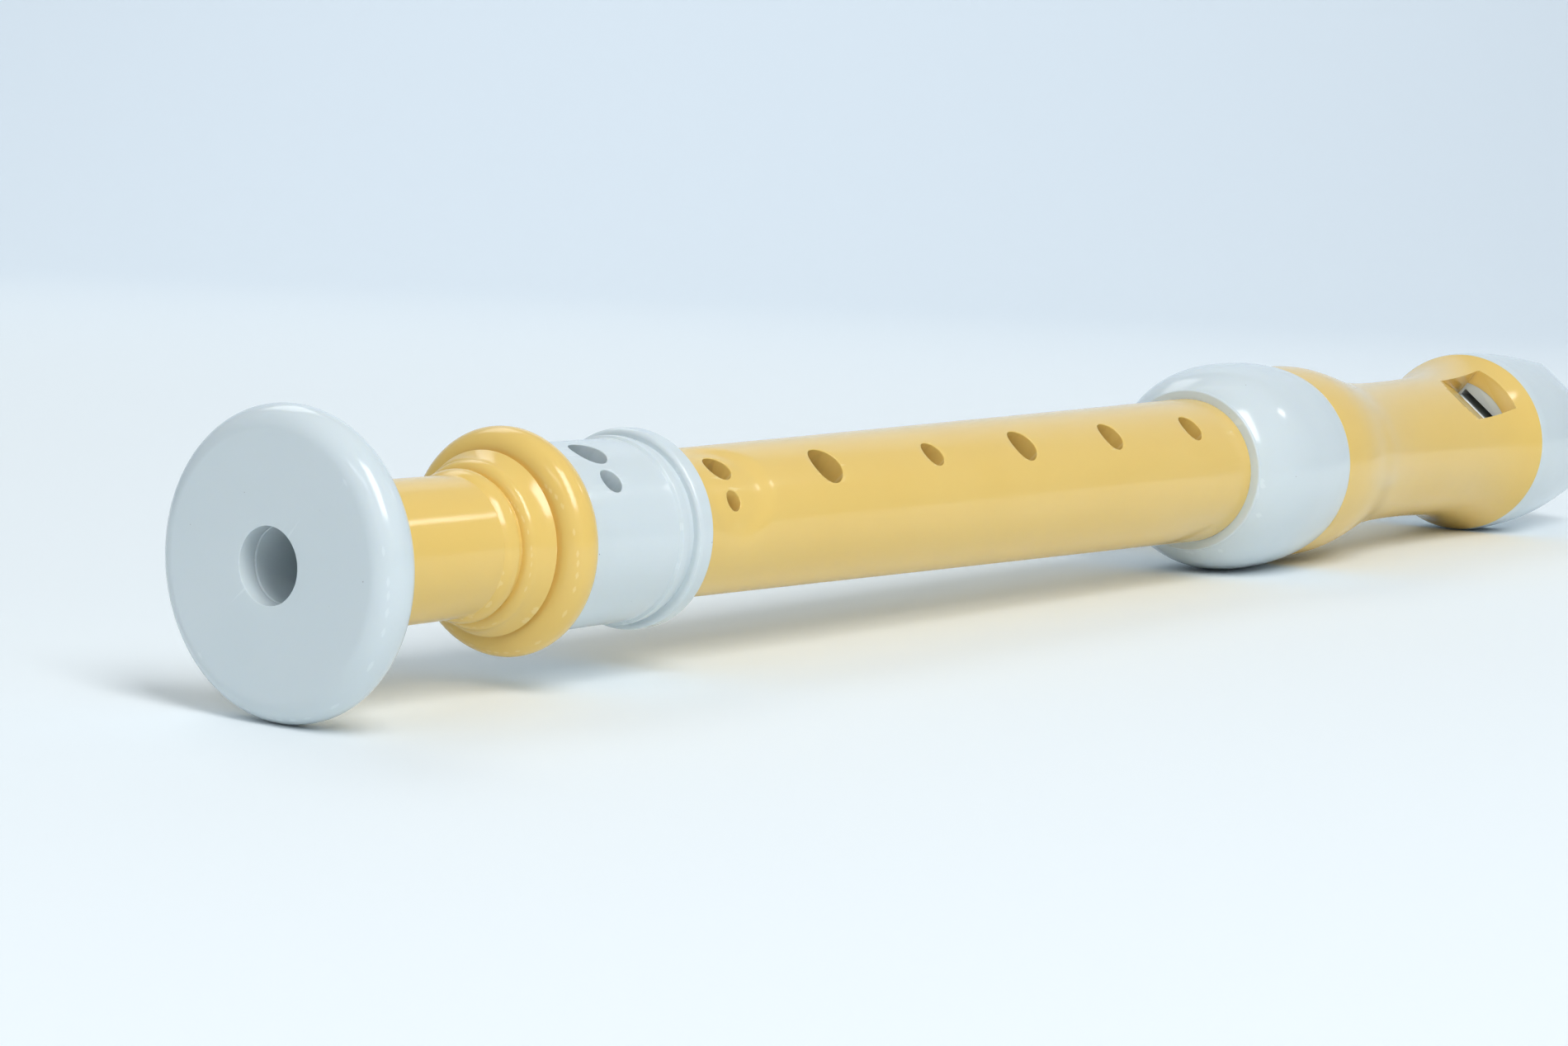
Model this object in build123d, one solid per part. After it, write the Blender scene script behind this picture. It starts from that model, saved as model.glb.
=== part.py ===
from build123d import *
import math
import os

# Soprano recorder in three joints: foot, middle and head, all turned about the X axis.
# X runs from the bell face at the foot (X = 0) to the tip of the beak. Z is up, sizes are
# in millimetres, and the recorder lies on its side with its finger holes rolled towards -Y.

# How far each joint is rolled about the bore from holes-up, towards -Y, in degrees.
foot_roll = 35.4
middle_roll = 44.2
head_roll = 39.5

# Clearances between pieces.
turn_clearance = 0.05      # radial gap where a piece turns or slides on another
seat_clearance = 0.02      # radial gap where a piece is glued into another
shoulder_gap = 0.05        # axial gap where two joints butt together
tenon_end_gap = 0.3        # axial gap between a tenon's end and the bottom of its socket
over = 1.0                 # how far a cutting shape runs past the face that it cuts

# Bell disc, the white cap on the foot's end.
bell_radius = 15.7
bell_thickness = 5.2
bell_rim_radius = 2.55
bell_lip = 2.1             # length of the disc's own bore before the liner starts
bell_spigot_wall = 1.1
bell_spigot_length = 4.0

# Foot liner, the long thin tube of the foot body.
liner_bore_radius = 3.9    # the disc's bore is flush with it
liner_straight = 20.0      # parallel stretch of the liner's bore
liner_wall = 1.45
liner_mouth = 0.2          # chamfer round the liner's mouth

# Foot shell, the yellow neck and the ring mouldings above it. Heights stand above the neck.
neck_wall = 1.01
neck_length = 21.1
fine_bead_length = 1.7
fine_bead_height = 0.6
fine_bead_round = 2.4
cove_length = 0.9
cove_depth = 0.45
step_bead_length = 0.8
step_bead_height = 1.4
step_bead_round = 1.3
ovolo_length = 2.1
ovolo_height = 2.4
ovolo_round = 5.0
quirk_length = 0.6         # narrow groove between the ovolo and the large ring
quirk_depth = 0.5
ring_round = 2.4           # radius of the large ring's rounded section
ring_stand = 2.05          # the large ring's height above the sleeve
boss_setback = 0.4         # how much shorter the boss is than the large ring
boss_step = 1.4            # step in radius from the sleeve down to the boss

# Foot body, the white sleeve that takes the middle joint's tenon.
sleeve_wall = 3.0
sleeve_length = 15.2
step_length = 1.3
step_height = 0.35
step_slope = 0.25
groove_length = 1.2
flange_length = 2.6
flange_height = 1.05
flange_round = 0.6
foot_socket_depth = 10.7
foot_bore_radius = 4.75    # at the bottom of the socket

# Double hole for the little finger, in the foot body.
low_pair_gap = 0.7         # from the bottom of the socket to the large hole's edge
low_large_radius = 2.2
low_small_radius = 1.45
low_pair_pitch = 4.6
low_small_back = 0.6       # how far the small hole sits towards the bell

# Middle joint.
tube_foot_radius = 8.45
tube_head_radius = 10.65
foot_tenon_step = 1.25     # step in radius from the tube down to each tenon
head_tenon_step = 2.05
head_tenon_length = 22.0
tenon_chamfer = 0.25
middle_bore_foot = 4.9
middle_bore_head = 6.0

# Finger holes of the middle joint: the pair stands above the foot shoulder, each later hole
# above the one before it, then the thumb hole, then the plain end of the tube.
pair_place = 8.9
pair_small_back = 0.5
pair_large_radius = 1.85
pair_small_radius = 1.15
pair_large_offset = -1.35
pair_small_offset = 3.05
hole_spacings = [19.8, 23.3, 21.7, 23.3, 23.2]
hole_radii = [2.6, 1.85, 2.5, 2.3, 2.2]
thumb_spacing = 8.8
thumb_radius = 2.5
plain_end = 4.6
dish_radius = 6.8
dish_depth = 0.35
dish_slope = 0.6
dish_offset = 0.85

# Barrel ring, the white bulge round the head joint's socket.
barrel_length = 25.6
barrel_front_stand = 1.05  # the front edge's height above the tube
barrel_front_round = 0.35
barrel_radius = 15.7
barrel_crown = 13.6        # from the barrel's front to its widest circle
barrel_back_drop = 0.9
barrel_lip = 2.2
socket_wall = 2.6

# Head joint.
flare_stand = 0.1          # the flare's height above the barrel's back edge
flare_crown = 5.5          # from the barrel's back to the flare's widest circle
flare_length = 20.7        # from the widest circle down to the stem
stem_top_radius = 12.0     # where the flare runs into the stem
stem_to_waist = 13.5
waist_radius = 11.4
waist_to_rise = 20.0
rise_radius = 11.9         # where the stem starts to open out towards the beak
rise_length = 19.0
rim_radius = 15.5          # at the beak's joint line
rim_slope = 0.45
head_bore_radius = 6.9

# Window and labium.
window_to_beak = 4.4       # from the window's beak side to the beak's joint line
cut_up = 4.0
window_width = 9.5
window_corner = 0.6
ramp_length = 13.0
lip_height = 8.8           # the labium's edge above the bore axis
lip_thickness = 0.5
undercut_length = 6.0      # slope from the lip's underside down to the bore

# Windway, between the block's flat and the roof.
windway_width = 8.6
windway_floor = 7.7        # the block's flat above the bore axis
windway_exit_height = 1.4
windway_mouth_height = 1.7
block_radius = 8.8
block_bevel = 0.4

# Beak cap, the white mouthpiece, and the spigot that carries the windway into the head.
beak_length = 34.5
beak_spigot_radius = 11.2
beak_crown = 2.6           # from the joint line to the beak's widest circle
beak_crown_radius = 15.7
beak_tip_radius = 13.4
beak_tip_top = 11.4        # above the bore axis, at the tip
beak_tip_bottom = 2.4
beak_top_start = 5.0       # where the top starts to fall, from the joint line
beak_cut_start = 6.0       # where the underside cut starts, from the joint line
beak_cut_sag = 4.2         # how far the underside cut is hollowed
beak_tip_round = 1.0

# Radii that follow from the fits, from the bore outwards.
liner_radius = liner_bore_radius + liner_wall
spigot_bore = liner_radius + seat_clearance
spigot_radius = spigot_bore + bell_spigot_wall
spigot_seat = spigot_radius + seat_clearance
neck_radius = spigot_seat + neck_wall
foot_tenon_radius = tube_foot_radius - foot_tenon_step
foot_socket_radius = foot_tenon_radius + turn_clearance
sleeve_radius = foot_socket_radius + sleeve_wall
boss_radius = sleeve_radius - boss_step
flange_radius = sleeve_radius + flange_height
ring_radius = sleeve_radius + ring_stand
head_tenon_radius = tube_head_radius - head_tenon_step
head_socket_radius = head_tenon_radius + turn_clearance
head_socket_outer = head_socket_radius + socket_wall
barrel_front_radius = tube_head_radius + barrel_front_stand
barrel_back_radius = barrel_radius - barrel_back_drop
flare_radius = barrel_back_radius + flare_stand
beak_seat_radius = beak_spigot_radius + seat_clearance
block_seat_radius = block_radius + seat_clearance

# Stations along X.
neck_start = bell_thickness
neck_end = neck_start + neck_length
bead_end = neck_end + fine_bead_length
cove_end = bead_end + cove_length
step_bead_end = cove_end + step_bead_length
ovolo_end = step_bead_end + ovolo_length
ring_start = ovolo_end + quirk_length
shell_end = ring_start + 2 * ring_round
boss_start = ring_start + boss_setback
sleeve_end = shell_end + sleeve_length
groove_start = sleeve_end + step_length
flange_start = groove_start + groove_length
foot_shoulder = flange_start + flange_length
foot_socket_end = foot_shoulder - foot_socket_depth
foot_tenon_end = foot_socket_end + tenon_end_gap
tube_start = foot_shoulder + shoulder_gap
tube_length = pair_place + sum(hole_spacings) + thumb_spacing + plain_end
tube_end = tube_start + tube_length
barrel_start = tube_end + shoulder_gap
barrel_end = barrel_start + barrel_length
head_tenon_end = tube_end + head_tenon_length
head_socket_end = head_tenon_end + tenon_end_gap
flare_top = barrel_end + flare_crown
stem_start = flare_top + flare_length
waist = stem_start + stem_to_waist
rise_start = waist + waist_to_rise
beak_start = rise_start + rise_length
beak_end = beak_start + beak_length
window_head = beak_start - window_to_beak
labium = window_head - cut_up


def lathe(*outline):
    """Solid of revolution about X under an outline of edges that runs from foot to head."""
    start = outline[0] @ 0
    end = outline[-1] @ 1
    closing = Polyline((end.X, end.Y), (end.X, 0), (start.X, 0), (start.X, start.Y))
    return revolve(make_face([*outline, closing]), Axis.X)


def tube_cut(x_start, r_start, x_end, r_end):
    """Straight or tapered round cutter about X."""
    return lathe(Line((x_start, r_start), (x_end, r_end)))


def rolled(shape, roll):
    """Turn a piece made with its holes up so that they face roll degrees towards -Y."""
    return shape.rotate(Axis.X, roll)


def drill(x, radius, offset, depth_from, depth_to):
    """Round cutter along Z, at x along the bore and offset sideways from its centre line."""
    height = depth_to - depth_from
    spot = Pos(x, -offset, depth_from + height / 2)
    return spot * Cylinder(radius, height)


def bell_disc():
    flat_edge = bell_radius - bell_rim_radius
    back_edge = bell_thickness - 2 * bell_rim_radius
    disc = lathe(
        RadiusArc((0, flat_edge), (bell_rim_radius, bell_radius), bell_rim_radius),
        Line((bell_rim_radius, bell_radius), (bell_rim_radius + back_edge, bell_radius)),
        RadiusArc((bell_rim_radius + back_edge, bell_radius), (bell_thickness, flat_edge), bell_rim_radius),
        Line((bell_thickness, flat_edge), (bell_thickness, spigot_radius)),
        Line((bell_thickness, spigot_radius), (bell_thickness + bell_spigot_length, spigot_radius)),
    )
    disc -= tube_cut(-over, liner_bore_radius, bell_lip + over, liner_bore_radius)
    disc -= tube_cut(bell_lip, spigot_bore, bell_thickness + bell_spigot_length + over, spigot_bore)
    return disc


def foot_shell():
    bead_top = neck_radius + fine_bead_height
    cove_floor = bead_top - cove_depth
    step_top = neck_radius + step_bead_height
    ovolo_top = neck_radius + ovolo_height
    quirk_floor = ovolo_top - quirk_depth
    ring_axis = ring_radius - ring_round
    ring_middle = ring_start + ring_round
    shell = lathe(
        Line((neck_start, neck_radius), (neck_end, neck_radius)),
        RadiusArc((neck_end, neck_radius), (bead_end, bead_top), fine_bead_round),
        Line((bead_end, bead_top), (bead_end, cove_floor)),
        Line((bead_end, cove_floor), (cove_end, cove_floor)),
        RadiusArc((cove_end, cove_floor), (step_bead_end, step_top), step_bead_round),
        RadiusArc((step_bead_end, step_top), (ovolo_end, ovolo_top), -ovolo_round),
        Line((ovolo_end, ovolo_top), (ovolo_end, quirk_floor)),
        Line((ovolo_end, quirk_floor), (ring_start, quirk_floor)),
        Line((ring_start, quirk_floor), (ring_start, ring_axis)),
        RadiusArc((ring_start, ring_axis), (ring_middle, ring_radius), ring_round),
        RadiusArc((ring_middle, ring_radius), (shell_end, ring_axis), ring_round),
    )
    liner_seat = liner_radius + turn_clearance
    boss_seat = boss_radius + turn_clearance
    spigot_end = neck_start + bell_spigot_length + seat_clearance
    shell -= tube_cut(neck_start - over, spigot_seat, spigot_end, spigot_seat)
    shell -= tube_cut(neck_start, liner_seat, shell_end, liner_seat)
    shell -= tube_cut(boss_start - shoulder_gap, boss_seat, shell_end + over, boss_seat)
    return shell


def foot_body():
    sleeve_start = shell_end + shoulder_gap
    step_radius = sleeve_radius + step_height
    step_top = sleeve_end + step_slope
    round_start = flange_radius - flange_round
    flange_top = flange_start + flange_round
    flange_back = foot_shoulder - flange_round
    liner_start = bell_lip + shoulder_gap
    body = lathe(
        Line((liner_start, liner_radius), (boss_start, liner_radius)),
        Line((boss_start, liner_radius), (boss_start, boss_radius)),
        Line((boss_start, boss_radius), (sleeve_start, boss_radius)),
        Line((sleeve_start, boss_radius), (sleeve_start, sleeve_radius)),
        Line((sleeve_start, sleeve_radius), (sleeve_end, sleeve_radius)),
        Line((sleeve_end, sleeve_radius), (step_top, step_radius)),
        Line((step_top, step_radius), (groove_start, step_radius)),
        Line((groove_start, step_radius), (groove_start, sleeve_radius)),
        Line((groove_start, sleeve_radius), (flange_start, sleeve_radius)),
        Line((flange_start, sleeve_radius), (flange_start, round_start)),
        RadiusArc((flange_start, round_start), (flange_top, flange_radius), flange_round),
        Line((flange_top, flange_radius), (flange_back, flange_radius)),
        RadiusArc((flange_back, flange_radius), (foot_shoulder, round_start), flange_round),
    )
    straight_end = liner_start + liner_straight
    mouth_radius = liner_bore_radius + liner_mouth
    body -= tube_cut(bell_lip - over, liner_bore_radius, straight_end, liner_bore_radius)
    body -= tube_cut(liner_start, mouth_radius, liner_start + liner_mouth, liner_bore_radius)
    body -= tube_cut(straight_end, liner_bore_radius, foot_socket_end, foot_bore_radius)
    body -= tube_cut(foot_socket_end, foot_socket_radius, foot_shoulder + over, foot_socket_radius)
    pair_x = foot_socket_end - low_pair_gap - low_large_radius
    half_pitch = low_pair_pitch / 2
    body -= drill(pair_x, low_large_radius, -half_pitch, 0, flange_radius)
    body -= drill(pair_x - low_small_back, low_small_radius, half_pitch, 0, flange_radius)
    return rolled(body, foot_roll)


def tube_radius(x):
    """Outside radius of the middle joint's tapered tube at x."""
    share = (x - tube_start) / tube_length
    return tube_foot_radius + (tube_head_radius - tube_foot_radius) * share


def finger_dish(x):
    """Shallow round recess of even depth, centred between the two holes of the pair."""
    floor = tube_cut(
        x - 2 * dish_radius,
        tube_radius(x - 2 * dish_radius) - dish_depth,
        x + 2 * dish_radius,
        tube_radius(x + 2 * dish_radius) - dish_depth,
    )
    height = 2 * tube_head_radius
    top_radius = dish_radius + dish_slope * height / tube_head_radius
    cone = Pos(x, 0, height / 2) * Cone(dish_radius, top_radius, height)
    tilt = math.degrees(math.asin(dish_offset / tube_radius(x)))
    return (cone - floor).rotate(Axis.X, tilt)


def middle_body():
    foot_lead = foot_tenon_end + tenon_chamfer
    head_lead = head_tenon_end - tenon_chamfer
    tube = lathe(
        Line((foot_tenon_end, foot_tenon_radius - tenon_chamfer), (foot_lead, foot_tenon_radius)),
        Line((foot_lead, foot_tenon_radius), (tube_start, foot_tenon_radius)),
        Line((tube_start, foot_tenon_radius), (tube_start, tube_foot_radius)),
        Line((tube_start, tube_foot_radius), (tube_end, tube_head_radius)),
        Line((tube_end, tube_head_radius), (tube_end, head_tenon_radius)),
        Line((tube_end, head_tenon_radius), (head_lead, head_tenon_radius)),
        Line((head_lead, head_tenon_radius), (head_tenon_end, head_tenon_radius - tenon_chamfer)),
    )
    tube -= tube_cut(foot_tenon_end, middle_bore_foot, head_tenon_end, middle_bore_head)
    top = tube_head_radius + over
    place = tube_start + pair_place
    tube -= finger_dish(place)
    tube -= drill(place, pair_large_radius, pair_large_offset, 0, top)
    tube -= drill(place - pair_small_back, pair_small_radius, pair_small_offset, 0, top)
    for spacing, radius in zip(hole_spacings, hole_radii):
        place += spacing
        tube -= drill(place, radius, 0, 0, top)
    tube -= drill(place + thumb_spacing, thumb_radius, 0, -top, 0)
    return rolled(tube, middle_roll)


def barrel_ring():
    front = barrel_front_radius + barrel_front_round
    crown_x = barrel_start + barrel_crown
    ring = lathe(
        RadiusArc(
            (barrel_start, barrel_front_radius),
            (barrel_start + barrel_front_round, front),
            barrel_front_round,
        ),
        Spline(
            (barrel_start + barrel_front_round, front),
            (crown_x, barrel_radius),
            (barrel_end, barrel_back_radius),
            tangents=[(1, 1), (1, 0), (1, -0.2)],
        ),
    )
    lip_bore = head_socket_radius
    shell_bore = head_socket_outer + turn_clearance
    ring -= tube_cut(barrel_start - over, lip_bore, barrel_start + barrel_lip + over, lip_bore)
    ring -= tube_cut(barrel_start + barrel_lip, shell_bore, barrel_end + over, shell_bore)
    return ring


def head_outline():
    socket_start = barrel_start + barrel_lip + shoulder_gap
    flare_start = barrel_end + shoulder_gap
    return lathe(
        Line((socket_start, head_socket_outer), (flare_start, head_socket_outer)),
        Line((flare_start, head_socket_outer), (flare_start, barrel_back_radius)),
        Spline(
            (flare_start, barrel_back_radius),
            (flare_top, flare_radius),
            (stem_start, stem_top_radius),
            (waist, waist_radius),
            (rise_start, rise_radius),
            (beak_start, rim_radius),
            tangents=[(1, 0.05), (1, 0), (1, -0.1), (1, 0), (1, 0.05), (1, rim_slope)],
        ),
    )


def windway(x_start, x_end):
    """Slot between the block's flat and the roof, higher at the beak's tip than at the window."""
    exit_roof = windway_floor + windway_exit_height
    mouth_roof = windway_floor + windway_mouth_height
    slope = (mouth_roof - exit_roof) / (beak_end - window_head)
    roof_start = exit_roof + slope * (x_start - window_head)
    roof_end = exit_roof + slope * (x_end - window_head)
    side = make_face(Polyline(
        (x_start, windway_floor - over),
        (x_end, windway_floor - over),
        (x_end, roof_end),
        (x_start, roof_start),
        close=True,
    ))
    return extrude(Plane.XZ * side, windway_width / 2, both=True)


def window_cut():
    """Window well, the ramp that rises from the labium's edge, and the slope under the lip."""
    reach = rim_radius + over
    rise = (rise_radius - lip_height) / ramp_length
    run_out = (reach - lip_height) / rise
    well = make_face(Polyline(
        (labium, 0),
        (window_head, 0),
        (window_head, reach),
        (labium - run_out, reach),
        (labium, lip_height),
        close=True,
    ))
    block = extrude(Plane.XZ * well, window_width / 2, both=True)
    upright = block.edges().filter_by(Axis.Z).sort_by(Axis.X)[-2:]
    block = fillet(upright, window_corner)
    under = make_face(Polyline(
        (labium + over, 0),
        (labium + over, lip_height - lip_thickness),
        (labium, lip_height - lip_thickness),
        (labium - undercut_length, head_bore_radius - seat_clearance),
        (labium - undercut_length, 0),
        close=True,
    ))
    return block + extrude(Plane.XZ * under, window_width / 2, both=True)


def head_body():
    head = head_outline()
    socket_start = barrel_start + barrel_lip
    head -= tube_cut(socket_start - over, head_socket_radius, head_socket_end, head_socket_radius)
    head -= tube_cut(head_socket_end - over, head_bore_radius, window_head + over, head_bore_radius)
    head -= tube_cut(window_head, beak_seat_radius, beak_start + over, beak_seat_radius)
    head -= window_cut()
    return rolled(head, head_roll)


def beak_side():
    """Side view of the beak: the top falls gently to the tip, the underside is cut away."""
    reach = beak_crown_radius + over
    top_start = (beak_start + beak_top_start, reach - over)
    tip_top = (beak_end - beak_tip_round, beak_tip_top)
    cut_start = (beak_start + beak_cut_start, over - reach)
    tip_bottom = (beak_end - beak_tip_round, beak_tip_bottom)
    outline = [
        Line((window_head - over, reach), (top_start[0], reach)),
        Line((top_start[0], reach), top_start),
        Spline(top_start, tip_top, tangents=[(1, 0), (1, -0.3)]),
        RadiusArc(tip_top, (beak_end, beak_tip_top - beak_tip_round), beak_tip_round),
        Line((beak_end, beak_tip_top - beak_tip_round), (beak_end, beak_tip_bottom + beak_tip_round)),
        RadiusArc((beak_end, beak_tip_bottom + beak_tip_round), tip_bottom, beak_tip_round),
        SagittaArc(tip_bottom, cut_start, -beak_cut_sag),
        Line(cut_start, (cut_start[0], -reach)),
        Line((cut_start[0], -reach), (window_head - over, -reach)),
        Line((window_head - over, -reach), (window_head - over, reach)),
    ]
    return extrude(Plane.XZ * make_face(outline), reach, both=True)


def beak_cap():
    cap = lathe(
        Line((window_head, beak_spigot_radius), (beak_start, beak_spigot_radius)),
        Line((beak_start, beak_spigot_radius), (beak_start, rim_radius)),
        Spline(
            (beak_start, rim_radius),
            (beak_start + beak_crown, beak_crown_radius),
            (beak_end, beak_tip_radius),
            tangents=[(1, 0.15), (1, 0), (1, -0.1)],
        ),
    )
    cap &= beak_side()
    cap -= tube_cut(window_head - over, block_seat_radius, beak_end + over, block_seat_radius)
    cap -= windway(window_head - over, beak_end + over)
    return rolled(cap, head_roll)


def windway_block():
    block = tube_cut(window_head, block_radius, beak_end, block_radius)
    above = block_radius - windway_floor + over
    block -= Pos((window_head + beak_end) / 2, 0, windway_floor + above / 2) * Box(
        beak_end - window_head + 2 * over, 2 * block_radius + over, above
    )
    front = block.faces().sort_by(Axis.X)[0]
    block = chamfer(front.edges().sort_by(Axis.Z)[-1], block_bevel)
    block &= beak_side()
    return rolled(block, head_roll)


os.makedirs("parts", exist_ok=True)
pieces = {
    "bell_disc": bell_disc,
    "foot_shell": foot_shell,
    "foot_body": foot_body,
    "middle_body": middle_body,
    "barrel_ring": barrel_ring,
    "head_body": head_body,
    "windway_block": windway_block,
    "beak_cap": beak_cap,
}
for name, make in pieces.items():
    export_step(make(), "parts/" + name + ".step")
print("overall length", round(beak_end, 1), "window edge", round(labium, 1))
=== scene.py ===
import math

import bmesh
import bpy
from mathutils import Matrix, Vector


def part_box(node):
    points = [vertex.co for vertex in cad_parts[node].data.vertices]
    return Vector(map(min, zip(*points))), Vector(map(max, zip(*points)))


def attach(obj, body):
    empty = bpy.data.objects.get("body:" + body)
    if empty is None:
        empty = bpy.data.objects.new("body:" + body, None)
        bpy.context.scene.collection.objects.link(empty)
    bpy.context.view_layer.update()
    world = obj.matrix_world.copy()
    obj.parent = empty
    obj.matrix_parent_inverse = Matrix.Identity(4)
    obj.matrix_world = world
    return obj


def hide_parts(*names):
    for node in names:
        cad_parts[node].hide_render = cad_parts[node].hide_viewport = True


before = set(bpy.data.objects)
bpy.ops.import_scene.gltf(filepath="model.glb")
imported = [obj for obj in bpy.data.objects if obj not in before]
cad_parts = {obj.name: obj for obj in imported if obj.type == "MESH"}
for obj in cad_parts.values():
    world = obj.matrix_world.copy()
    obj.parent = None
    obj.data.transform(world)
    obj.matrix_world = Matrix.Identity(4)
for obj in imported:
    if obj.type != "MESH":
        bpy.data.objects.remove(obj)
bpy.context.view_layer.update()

mm = 0.001
scene = bpy.context.scene


# camera
cameraSet = {
    "standsAt": (-0.20514, -0.20295, 0.03692),   # low, off the bell end
    "looksAlong": (0.8164, 0.5674, -0.1069),
    "rollDegrees": 2.5,                          # right side held a little high
    "lens": 68.2,
    "sensor": 36,
    "nearest": 0.01,
    "farthest": 50,
}


def setCamera(values):
    data = bpy.data.cameras.new("camera")
    data.lens = values["lens"]
    data.sensor_width = values["sensor"]
    data.clip_start = values["nearest"]
    data.clip_end = values["farthest"]
    camera = bpy.data.objects.new("camera", data)
    scene.collection.objects.link(camera)
    forward = Vector(values["looksAlong"]).normalized()
    level = forward.cross(Vector((0, 0, 1))).normalized()
    right = Matrix.Rotation(-math.radians(values["rollDegrees"]), 3, forward) @ level
    up = right.cross(forward)
    turn = Matrix((right, up, -forward)).transposed()
    camera.matrix_world = Matrix.Translation(values["standsAt"]) @ turn.to_4x4()
    scene.camera = camera
    print("camera set")


setCamera(cameraSet)


# small helpers for node trees
def addNode(tree, kind, **settings):
    node = tree.nodes.new(kind)
    for key, value in settings.items():
        setattr(node, key, value)
    return node


def plug(tree, socket, value):               # link a socket, or set a plain number, vector or name
    if isinstance(value, bpy.types.NodeSocket):
        tree.links.new(value, socket)
    elif value is not None:
        socket.default_value = value


def sums(tree, operation, a, b=None):        # one Math node
    node = addNode(tree, "ShaderNodeMath", operation=operation)
    plug(tree, node.inputs[0], a)
    plug(tree, node.inputs[1], b)
    return node.outputs[0]


def blendColours(tree, amount, first, second):
    node = addNode(tree, "ShaderNodeMix", data_type="RGBA")
    plug(tree, node.inputs["Factor"], amount)
    plug(tree, node.inputs[6], first)        # inputs 6 and 7 are the colour pair
    plug(tree, node.inputs[7], second)
    return node.outputs[2]


# floor and light
studio = {
    "nearColour": (0.88, 0.93, 0.95, 1),
    "farColour": (0.82, 0.90, 0.97, 1),
    "fadeFrom": 0.15,          # metres past the bell, along the camera's look
    "fadeTo": 1.9,
    "fadeUpwards": 0.6,        # metres of distance that a metre of height counts as
    "sweepStarts": 1.25,
    "sweepRadius": 0.8,
    "sweepSteps": 24,
    "wallHeight": 1.6,
    "halfWidth": 7.0,
    "towardsCamera": 4.0,
    "gap": 0.01 * mm,          # under the pieces
    "grainScale": 900,
    "grainStrength": 0.15,
    "grainDepth": 0.1 * mm,
    "roughness": 0.7,
}
lights = {
    "skyLow": (0.60, 0.64, 0.68, 1),
    "skyMiddle": (0.74, 0.80, 0.86, 1),
    "skyHigh": (1.0, 1.08, 1.14, 1),
    "skyMiddleAt": 0.34,
    "skyHighAt": 0.7,
    "skyStrength": 0.37,
    # each lamp: where it stands, width and height, watts, colour
    "wallWash": ((0.40, 0.30, 1.60), (1.0, 1.0), 11.5, (0.97, 0.99, 1.0)),
    "wallWashAim": (1.70, 1.20, 1.20),
    "lampsAim": (0.12, 0, 0),
    "lamps": {
        "main window": ((-0.32, -0.84, 1.05), (0.50, 0.90), 13.0, (0.98, 0.99, 1.0)),
        "back softbox": ((0.50, 1.10, 1.30), (0.9, 0.6), 3.5, (0.95, 0.98, 1.0)),
        "side window": ((0.90, -0.48, 0.66), (0.10, 0.10), 0.25, (1.0, 0.98, 0.95)),
        "window behind": ((-0.9, -0.25, 0.85), (0.5, 0.18), 0.8, (0.95, 0.98, 1.0)),
        "front fill": ((-1.1, -1.3, 0.62), (2.2, 0.7), 1.5, (1.0, 0.99, 0.99)),
    },
}


def layFloor(values, floorHeight):
    looks = Vector(cameraSet["looksAlong"][:2]).normalized()
    side = Vector((-looks.y, looks.x))
    starts = values["sweepStarts"]
    curve = values["sweepRadius"]
    run = [(-values["towardsCamera"], 0), (starts, 0)]
    for step in range(1, values["sweepSteps"] + 1):
        angle = math.pi / 2 * step / values["sweepSteps"]
        run.append((starts + curve * math.sin(angle), curve * (1 - math.cos(angle))))
    run.append((run[-1][0], values["wallHeight"]))
    points = []
    for along, height in run:
        for sign in (1, -1):
            spot = looks * along + side * values["halfWidth"] * sign
            points.append((spot.x, spot.y, floorHeight + height))
    faces = [(2 * i, 2 * i + 1, 2 * i + 3, 2 * i + 2) for i in range(len(run) - 1)]
    mesh = bpy.data.meshes.new("floor")
    mesh.from_pydata(points, [], faces)
    mesh.shade_smooth()
    floor = bpy.data.objects.new("floor", mesh)
    scene.collection.objects.link(floor)
    mesh.materials.append(palePaper(values, looks))
    print("floor laid")


def palePaper(values, looks):
    material = bpy.data.materials.new("pale paper")
    material.use_nodes = True
    tree = material.node_tree
    shader = tree.nodes["Principled BSDF"]
    place = addNode(tree, "ShaderNodeTexCoord")
    away = addNode(tree, "ShaderNodeVectorMath", operation="DOT_PRODUCT")
    plug(tree, away.inputs[0], place.outputs["Object"])
    plug(tree, away.inputs[1], (looks.x, looks.y, values["fadeUpwards"]))
    fade = addNode(tree, "ShaderNodeMapRange", interpolation_type="SMOOTHSTEP")
    plug(tree, fade.inputs["Value"], away.outputs["Value"])
    fade.inputs["From Min"].default_value = values["fadeFrom"]
    fade.inputs["From Max"].default_value = values["fadeTo"]
    colour = blendColours(tree, fade.outputs["Result"], values["nearColour"], values["farColour"])
    plug(tree, shader.inputs["Base Color"], colour)
    grain = addNode(tree, "ShaderNodeTexNoise")
    grain.inputs["Scale"].default_value = values["grainScale"]
    plug(tree, grain.inputs["Vector"], place.outputs["Object"])
    bump = addNode(tree, "ShaderNodeBump")
    bump.inputs["Strength"].default_value = values["grainStrength"]
    bump.inputs["Distance"].default_value = values["grainDepth"]
    plug(tree, bump.inputs["Height"], grain.outputs["Fac"])
    plug(tree, shader.inputs["Normal"], bump.outputs["Normal"])
    shader.inputs["Roughness"].default_value = values["roughness"]
    return material


def addLamp(name, spot, size, watts, colour, target):
    data = bpy.data.lights.new(name, "AREA")
    data.shape = "RECTANGLE"
    data.size, data.size_y = size
    data.energy = watts
    data.color = colour
    lamp = bpy.data.objects.new(name, data)
    lamp.location = spot
    lamp.rotation_euler = (Vector(target) - lamp.location).to_track_quat("-Z", "Y").to_euler()
    scene.collection.objects.link(lamp)


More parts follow.
